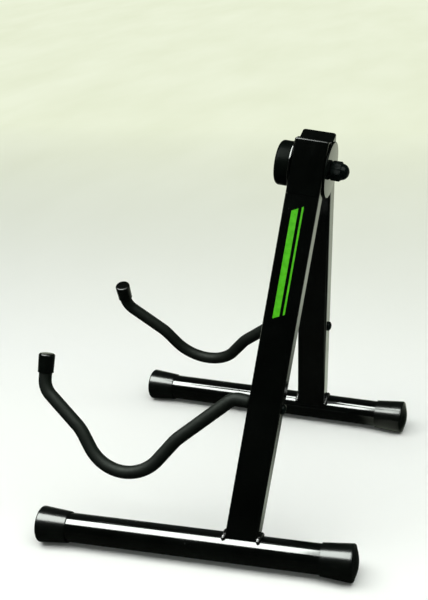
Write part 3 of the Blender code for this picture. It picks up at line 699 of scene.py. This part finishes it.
def foot_profile():
    """Half section of a foot: open at 0, flaring to a rounded rim, with a shallow dome."""
    bore = TUBE_RADIUS + FIT_GAP
    end = FOOT_SKIRT
    corners = [(0.0, end - FOOT_END_WALL, 0), (bore, end - FOOT_END_WALL, 0.4 * MM),
               (bore, 0.0, 0.15 * MM), (bore + FOOT_LIP, 0.0, 0.45 * MM),
               (FOOT_RADIUS, end + 0.1 * MM, 2.0 * MM),
               (FOOT_RADIUS - 3.4 * MM, end + 1.0 * MM, 1.5 * MM),
               (FOOT_RADIUS * 0.55, end + FOOT_DOME * 0.72, 0)]
    profile = [tuple(point) for point in fillet(corners)][:-1]
    dome_radius, dome_start = profile[-1]
    for k in range(1, FOOT_DOME_STEPS + 1):
        share = 1 - k / FOOT_DOME_STEPS
        rise = (end + FOOT_DOME - dome_start) * (1 - share ** 2)
        profile.append((dome_radius * share, dome_start + rise))
    return profile


def make_foot(word, side, end, rubber):
    """Rubber foot pushed over an end of the base tube, flat where it meets the floor."""
    bm = turned(foot_profile(), 112, closed=False)
    bmesh.ops.bisect_plane(bm, geom=bm.verts[:] + bm.edges[:] + bm.faces[:], dist=1e-7,
                           plane_co=(0, 0, -AXIS_HEIGHT), plane_no=(0, 0, -1), clear_outer=True)
    bmesh.ops.holes_fill(bm, edges=[edge for edge in bm.edges if edge.is_boundary], sides=0)
    reach = (REAR_REACH if end > 0 else FRONT_REACH) - FOOT_SKIRT
    base = base_matrix(side)
    along = (base.to_3x3() @ Vector((0, end, 0))).normalized()
    upright = Vector((0, 0, 1))
    turn = turned_to(along.cross(upright).normalized(), along, upright)
    place = Matrix.Translation(base @ Vector((0, end * reach, 0))) @ turn
    name = f"{word}_{END_WORD[end]}_foot"
    dress(finish(bm, name + "_cap", place, rubber, sharp=40.0), BODY[word], name)


def arm_path(side, start_y, end_cut):
    """Middle line of the arm in a side's own axes, as (point, direction) pairs."""
    corners = [(start_y, ARM_UP_LEG - LEG_DOWN, 0.0)]
    corners += [(y * MM, z * MM - LEG_DOWN, radius * MM) for y, z, radius in ARM_CORNERS]
    tip = Vector((ARM_TIP[0] * MM, ARM_TIP[1] * MM - LEG_DOWN))
    inward = (Vector(corners[-1][:2]) - tip).normalized()
    tip += inward * (end_cut - (NEAR_TIP_EXTRA if side > 0 else 0.0))
    corners.append((tip.x, tip.y, 0.0))
    coarse = fillet(corners, step=math.radians(4.0))
    points = [coarse[0]]
    for first, second in zip(coarse, coarse[1:]):
        pieces = max(1, round((second - first).length / ARM_STEP))
        points += [first.lerp(second, k / pieces) for k in range(1, pieces + 1)]
    points = [Vector((0, p.x, p.y)) for p in points]
    last = len(points) - 1
    return [(point, (points[min(i + 1, last)] - points[max(i - 1, 0)]).normalized())
            for i, point in enumerate(points)]


def make_sleeve(word, side, foam):
    """Soft tube over the arm's rod, its skin a little uneven and its end rolled at the leg."""
    path = arm_path(side, -LEG_WIDTH / 2 - FIT_GAP, TIP_END_WALL + FIT_GAP)
    bore = ROD_RADIUS + FIT_GAP

    def skin(centre):
        def radius(angle):
            probe = Vector((side * 0.3 + math.cos(angle) * 0.02, centre.y * 1.2,
                            centre.z + math.sin(angle) * 0.02))
            return SLEEVE_RADIUS * (1 + SLEEVE_UNEVENNESS * noise.noise(probe * SLEEVE_NOISE_SCALE))
        return radius

    start, away = path[0]
    sections = [(start, away, bore + 0.1 * MM)]
    for inset, back in ((0.75, 0.0), (0.35, 0.12), (0.08, 0.45)):
        sections.append((start + away * back * MM, away, SLEEVE_RADIUS - inset * MM))
    sections += [(point, ahead, skin(point)) for point, ahead in path[1:]]
    sections += [(point, ahead, bore) for point, ahead in reversed(path)]
    bm, rings = swept(sections, 48)
    band(bm, rings[-1], rings[0])
    place = side_matrix(side) @ Matrix.Translation((side * LEG_OFFSET, 0, 0))
    sleeve = finish(bm, word + "_soft_tube", place, foam, sharp=50.0)
    dress(sleeve, BODY[word], word + "_arm_sleeve")


def make_tip(word, side, rubber):
    """Round-ended cap pushed over the end of the sleeve, a little wider at its top."""
    bore = SLEEVE_RADIUS + FIT_GAP
    corners = [(0.0, -TIP_END_WALL, 0), (bore, -TIP_END_WALL, 0.4 * MM),
               (bore, -TIP_LENGTH, 0.15 * MM), (TIP_RADIUS + 0.02 * MM, -TIP_LENGTH, 0.3 * MM),
               (TIP_RADIUS - 0.1 * MM, -TIP_LENGTH + 1.6 * MM, 0.5 * MM),
               (TIP_RADIUS + 0.25 * MM, -0.3 * MM, 1.9 * MM), (0.0, 0.0, 0)]
    tip, along = arm_path(side, -LEG_WIDTH / 2, 0.0)[-1]
    across = Vector((1, 0, 0))
    place = side_matrix(side) @ Matrix.Translation(tip + Vector((side * LEG_OFFSET, 0, 0)))
    place = place @ turned_to(across, along, across.cross(along))
    cap = finish(turned_outline(corners, 72), word + "_tip_cap", place, rubber, sharp=40.0)
    dress(cap, BODY[word], word + "_arm_tip")


def make_screw(word, side, zinc):
    """Pan-head screw with a cross recess."""
    head = LEG_WIDTH / 2 + CLOSE_GAP
    corners = [(0.0, 0.0, 0), (SCREW_RADIUS, 0.0, 0), (SCREW_RADIUS, head, 0),
               (SCREW_HEAD_RADIUS, head, 0.2 * MM), (SCREW_HEAD_RADIUS, head + 1.4 * MM, 0.9 * MM),
               (2.4 * MM, head + 3.0 * MM, 1.5 * MM), (0.0, head + SCREW_HEAD_HEIGHT, 0)]
    place = side_matrix(side) @ Matrix.Translation((side * LEG_OFFSET, 0, ARM_UP_LEG - LEG_DOWN))
    screw = finish(turned_outline(corners, 56), word + "_screw", place, zinc)
    low, high = head + RECESS_START, head + RECESS_CUT_END
    slots = []
    for x, z in ((RECESS_REACH, RECESS_HALF_WIDTH), (RECESS_HALF_WIDTH, RECESS_REACH)):
        slots.append((block((-x, low, -z), (x, high, z)), "DIFFERENCE"))
    combine(screw, slots)
    dress(screw, BODY[word], word + "_arm_screw")


def knuckle(side, start, end):
    """D-shaped knuckle round the bolt, reaching back into its own head."""
    root = side * LEG_OFFSET
    points = [(root, KNUCKLE_RADIUS)]
    for step in range(KNUCKLE_STEPS + 1):
        angle = math.pi / 2 + side * step / KNUCKLE_STEPS * math.pi
        points.append((KNUCKLE_RADIUS * math.cos(angle), KNUCKLE_RADIUS * math.sin(angle)))
    points.append((root, -KNUCKLE_RADIUS))
    bm = bmesh.new()
    loops = [[bm.verts.new((x, y, z)) for x, z in points] for y in (start, end)]
    band(bm, *loops)
    for loop in loops:
        bm.faces.new(loop)
    return bm


def free_spans(spans):
    """Stretches of the bolt that the knuckles leave free, run past the ends of the head."""
    reach = LEG_WIDTH / 2 + MM
    edges = [-reach] + [value for span in spans for value in span] + [reach]
    pairs = zip(edges[0::2], edges[1::2])
    return [(start, end) for start, end in pairs if end - start > 2 * MM]


def head_outline(side, inset):
    """Outline of a head's block, drawn in from all its faces but the inner one."""
    depth = HEAD_OUTER_FACE - inset - HEAD_INNER_FACE
    centre = side * (HEAD_INNER_FACE + depth / 2)
    return rounded_rectangle(depth, LEG_WIDTH - 2 * inset, LEG_CORNER, centre, support=0.0, steps=6)


def make_head(word, side, plastic):
    """Hinge head: block, spigot and knuckles, with room for the other's knuckles and a bore."""
    levels = []
    for inset, rise in ((0.5 * MM, 0.0), (0.15 * MM, 0.15 * MM), (0.0, 0.5 * MM)):
        levels.append((head_outline(side, inset), HEAD_BASE + rise))
    for step in range(HEAD_ROUND_STEPS + 1):
        angle = step / HEAD_ROUND_STEPS * math.pi / 2
        height = HEAD_TOP - HEAD_ROUND * (1 - math.sin(angle))
        levels.append((head_outline(side, HEAD_ROUND * (1 - math.cos(angle))), height))
    head = finish(stack(levels), word + "_head", side_matrix(side), plastic)
    outline = rounded_rectangle(SPIGOT_DEPTH, SPIGOT_WIDTH, SPIGOT_CORNER, side * LEG_OFFSET,
                                support=0.0, steps=4)
    spigot = stack([(outline, LEG_TUBE_TOP - SPIGOT_LENGTH), (outline, HEAD_BASE + SPIGOT_ROOT)])
    room = KNUCKLE_RADIUS + KNUCKLE_CLEARANCE
    changes = [(spigot, "UNION")]
    changes += [(knuckle(side, *span), "UNION") for span in KNUCKLES[word]]
    changes += [(plug(room, *span, 72), "DIFFERENCE") for span in free_spans(KNUCKLES[word])]
    changes.append((plug(BOLT_RADIUS + FIT_GAP, -CUT_REACH, CUT_REACH), "DIFFERENCE"))
    combine(head, changes)
    bevel = head.modifiers.new("eased", "BEVEL")
    bevel.width = 0.25 * MM
    bevel.segments = 2
    bevel.limit_method = "ANGLE"
    bevel.angle_limit = math.radians(40.0)
    bevel.use_clamp_overlap = True
    even_normals(head)
    dress(head, BODY[word], word + "_hinge_head")


# Pieces on the hinge axis

def make_disc(name, start, end, paint, rim):
    """Steel disc with a pressed round rim in a material of its own."""
    bore = BOLT_RADIUS + FIT_GAP
    corners = [(bore, start, 0), (DISC_RADIUS, start, 0.5 * MM), (DISC_RADIUS, end, 0.5 * MM),
               (bore, end, 0)]
    bm = turned_outline(corners, 128, closed=True)
    disc = finish(bm, name + "_plate", hinge_matrix(), paint)
    disc.data.materials.append(rim)
    for face in disc.data.polygons:
        if math.hypot(face.center.x, face.center.z) > DISC_RADIUS - DISC_RIM:
            face.material_index = 1
    dress(disc, "right_frame", name)


def make_cap_nut(zinc):
    """Domed nut: a hexagon with turned chamfers, a neck and a round dome."""
    start = DISC_OUTER + CLOSE_GAP
    top = start + NUT_LENGTH
    flat = NUT_ACROSS_FLATS / 2

    def hexagon(height, sign):
        def ring(angle):
            radius = flat / math.cos(angle % (math.pi / 3) - math.pi / 6)
            return radius, height - sign * max(radius - flat - 0.15 * MM, 0.0) * NUT_CHAMFER_SLOPE
        return ring

    rings = [(0.0, start + NUT_THREAD_DEPTH), (BOLT_RADIUS, start + NUT_THREAD_DEPTH),
             (BOLT_RADIUS, start), (flat - 0.1 * MM, start), hexagon(start + 0.25 * MM, -1),
             hexagon(top - 0.25 * MM, 1), (flat - 0.1 * MM, top), (NUT_DOME + 0.1 * MM, top)]
    for step in range(NUT_DOME_STEPS + 1):
        angle = step / NUT_DOME_STEPS * math.pi / 2
        rings.append((NUT_DOME * math.cos(angle),
                      top + NUT_DOME_RISE * math.sin(angle) - 0.1 * MM))
    nut = finish(turned(rings, 144, closed=False), "domed_nut", hinge_matrix(), zinc, sharp=25.0)
    dress(nut, "right_frame", "hinge_cap_nut")


def make_bumper(rubber):
    """Round rubber bumper with a crowned face, hollow over the bolt's head."""
    back = -DISC_OUTER - 0.1 * MM
    front = -DISC_OUTER - FIT_GAP - BUMPER_LENGTH
    pocket = back - BUMPER_POCKET_DEPTH
    corners = [(0.0, pocket, 0), (BUMPER_POCKET, pocket, 0.3 * MM),
               (BUMPER_POCKET, back, 0.2 * MM), (BUMPER_RADIUS, back, 0.5 * MM),
               (BUMPER_RADIUS, front + 0.6 * MM, 3.2 * MM),
               (BUMPER_RADIUS * 0.45, front + 0.1 * MM, 12.0 * MM), (0.0, front, 0)]
    # The pad takes the shineless copy of the rubber, painted shade that keeps it dark.
    pad = finish(turned_outline(corners, 112), "bumper_pad", hinge_matrix(), rubber, sharp=40.0)
    dress(pad, "right_frame", "back_bumper")


def make_stripes(ink):
    """Two plain printed stripes with slanted ends on the outer face of the near leg."""
    for number, (front, width) in enumerate(STRIPES):
        bm = bmesh.new()
        loops = []
        for lift, inset in ((-PRINT_SINK, 0.0), (PRINT_THICKNESS, PRINT_BEVEL)):
            near, far = front + inset, front + width - inset
            corners = ((near, STRIPE_BOTTOM), (far, STRIPE_BOTTOM), (far, STRIPE_TOP),
                       (near, STRIPE_TOP))
            loops.append([bm.verts.new((HEAD_OUTER_FACE + lift, y, z + y * STRIPE_SLANT))
                          for y, z in corners])
        band(bm, *loops)
        for loop in loops:
            bm.faces.new(loop)
        stripe = finish(bm, f"leg_stripe_{number + 1}", side_matrix(1), ink)
        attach(stripe, "right_frame")


# Stage

def floor_material():
    """Lit near the stand and an even backdrop far from it, with painted shade and reflections for
    gloss.
    """
    shader = Shader("pale_floor")
    shader.tree.nodes.remove(shader.principled)
    x, y, _ = shader.node("ShaderNodeSeparateXYZ", {0: shader.place}).outputs
    glossy = shader.node("ShaderNodeLightPath").outputs["Is Glossy Ray"]
    slant = shader.maths("ADD", y, shader.maths("MULTIPLY", x, FLOOR_SLANT))
    # Painted shade and painted reflections: for gloss the floor is dimmed near the stand, and
    # brightened past BRIGHT_X and on the slanted strips.
    bright = shader.spread(x, *BRIGHT_X, 1.0, 0.0)
    for (start, end), (low, high) in PAINTED_REFLECTION_STRIPS:
        fade_in = shader.spread(slant, start, end)
        fade_out = shader.spread(slant, *(end + fade for fade in STRIP_FADE_OUT), 1.0, 0.0)
        strip = shader.maths("MULTIPLY", fade_in, fade_out)
        strip = shader.maths("MULTIPLY", strip, shader.spread(x, low, high, 1.0, 0.0))
        bright = shader.maths("MAXIMUM", bright, strip)
    shaded = shader.spread(bright, 0.0, 1.0, FLOOR_PAINTED_SHADE, 1.0)
    level = shader.node("ShaderNodeMix", {0: glossy, 2: 1.0, 3: shaded}).outputs[0]
    white = shader.mix(glossy, FLOOR_WHITE, FLOOR_IN_GLOSS)
    white = shader.node("ShaderNodeVectorMath", {0: white, "Scale": level}, operation="SCALE")
    lit = shader.node("ShaderNodeBsdfDiffuse", {"Color": white.outputs[0]})
    pale = shader.blend(shader.noise(6.0, 5.0, stretch=(0.5, 1, 1)), *FLOOR_PALE)
    backdrop = shader.node("ShaderNodeEmission", {"Color": pale, "Strength": level})
    distance = shader.node("ShaderNodeVectorMath", {0: shader.place}, operation="LENGTH")
    far = shader.maths("MAXIMUM", shader.spread(x, *FAR_X),
                       shader.spread(distance.outputs["Value"], *FAR_DISTANCE))
    both = shader.node("ShaderNodeMixShader", {0: far, 1: lit.outputs[0], 2: backdrop.outputs[0]})
    surface = shader.tree.nodes["Material Output"].inputs["Surface"]
    shader.tree.links.new(both.outputs[0], surface)
    return shader.material


def make_floor():
    """Wide round floor, white in front of the stand and faintly mottled behind it."""
    bm = bmesh.new()
    rings = []
    for radius in FLOOR_RINGS:
        angles = [2 * math.pi * k / FLOOR_SIDES for k in range(FLOOR_SIDES)]
        rings.append([bm.verts.new((radius * math.cos(angle), radius * math.sin(angle), 0))
                      for angle in angles])
    bm.faces.new(rings[0])
    for first, second in zip(rings, rings[1:]):
        band(bm, first, second)
    floor = finish(bm, "pale_floor", Matrix.Identity(4), floor_material())


def make_lights():
    """A long softbox for diffuse light, and two for gloss alone, the brighter over the front."""
    back = Vector((math.cos(LAMP_ELEVATION), 0, math.sin(LAMP_ELEVATION)))
    right = Vector((0, 1, 0))
    for name, distance, size, radiance, colour, shift, hidden_from in LAMPS:
        lamp = bpy.data.lights.new(name, "AREA")
        lamp.shape = "RECTANGLE"
        lamp.size, lamp.size_y = size
        lamp.energy = radiance * math.pi * size[0] * size[1]
        lamp.color = colour
        item = bpy.data.objects.new(name, lamp)
        bpy.context.scene.collection.objects.link(item)
        place = LAMP_TARGET + Vector((0, shift, 0)) + distance * back
        item.matrix_world = Matrix.Translation(place) @ turned_to(right, back.cross(right), back)
        item.visible_camera = False
        setattr(item, hidden_from, False)


def make_world():
    """Pale backdrop for the camera, a dim even sky, and for gloss a dark room with a paler side."""
    world = bpy.data.worlds.new("studio")
    bpy.context.scene.world = world
    world.use_nodes = True
    tree = world.node_tree
    tree.nodes.clear()

    def background(colour, strength):
        colour = (*colour, 1.0)
        return add_node(tree, "ShaderNodeBackground", {0: colour, 1: strength}).outputs[0]

    def choose(share, first, second):
        return add_node(tree, "ShaderNodeMixShader", {0: share, 1: first, 2: second}).outputs[0]

    ray = add_node(tree, "ShaderNodeLightPath").outputs
    place = add_node(tree, "ShaderNodeTexCoord").outputs["Generated"]
    x = add_node(tree, "ShaderNodeSeparateXYZ", {0: place}).outputs[0]
    strength = map_range(tree, x, *ROOM_X, *ROOM_STRENGTH)
    unseen = choose(ray["Is Glossy Ray"], background(SKY_COLOUR, SKY_STRENGTH),
                    background(ROOM_COLOUR, strength))
    both = choose(ray["Is Camera Ray"], unseen, background(BACKDROP_COLOUR, 1.0))
    add_node(tree, "ShaderNodeOutputWorld", {0: both})


def make_camera():
    """Camera at the photograph's place and angle."""
    level = math.cos(CAMERA_ELEVATION)
    behind = Vector((level * math.cos(CAMERA_AZIMUTH), level * math.sin(CAMERA_AZIMUTH),
                     math.sin(CAMERA_ELEVATION)))
    right = Vector((0, 0, 1)).cross(behind).normalized()
    up = behind.cross(right)
    roll = Matrix.Rotation(CAMERA_ROLL, 4, "Z")
    data = bpy.data.cameras.new("camera")
    data.sensor_width = CAMERA_SENSOR
    data.lens = CAMERA_LENS
    data.clip_start, data.clip_end = CAMERA_CLIP
    item = bpy.data.objects.new("camera", data)
    bpy.context.scene.collection.objects.link(item)
    item.matrix_world = Matrix.Translation(CAMERA_PLACE) @ turned_to(right, up, behind) @ roll
    bpy.context.scene.camera = item


def finish_cad_nodes(zinc, nylon, steel):
    """Better materials for the CAD nodes that no piece of the scene replaces."""
    for name, material in (("hinge_bolt", zinc), ("front_hinge_washer", nylon),
                           ("rear_hinge_washer", nylon), ("right_arm_rod", steel),
                           ("left_arm_rod", steel)):
        for material_slot in frame["nodes"][name].material_slots:
            material_slot.material = material


def main():
    make_camera()
    make_world()
    make_lights()
    make_floor()
    paint, weld, foam = gloss_paint(), weld_paint(), soft_sleeve()
    foot_rubber = satin_rubber("foot_rubber", shine=0.19, smooth=0.19, dull=0.23)
    tip_rubber = satin_rubber("tip_rubber", shine=0.12, smooth=0.16, dull=0.21)
    # Painted shade: a copy of the rubber with almost no shine, which keeps the bumper dark as if
    # shaded.
    painted_shade_rubber = satin_rubber("painted_shade_rubber", shine=0.006, smooth=0.30, dull=0.38)
    plastic, zinc = moulded_plastic(), black_zinc()
    for word, side in SIDES.items():
        make_leg_tube(word, side, paint)
        make_base_tube(word, side, paint)
        for end in END_WORD:
            make_weld(word, side, end, weld)
            make_foot(word, side, end, foot_rubber)
        make_sleeve(word, side, foam)
        make_tip(word, side, tip_rubber)
        make_screw(word, side, zinc)
        make_head(word, side, plastic)
    make_disc("front_hinge_disc", -DISC_OUTER, -DISC_INNER, paint, paint)
    # The rear disc's rim takes the shineless rubber: painted shade that hides the highlight on its
    # rim.
    make_disc("rear_hinge_disc", DISC_INNER, DISC_OUTER, paint, painted_shade_rubber)
    make_cap_nut(zinc)
    make_bumper(painted_shade_rubber)
    make_stripes(green_print())
    finish_cad_nodes(zinc, natural_nylon(), drawn_steel())
    bpy.context.scene.view_settings.view_transform = "Standard"


main()
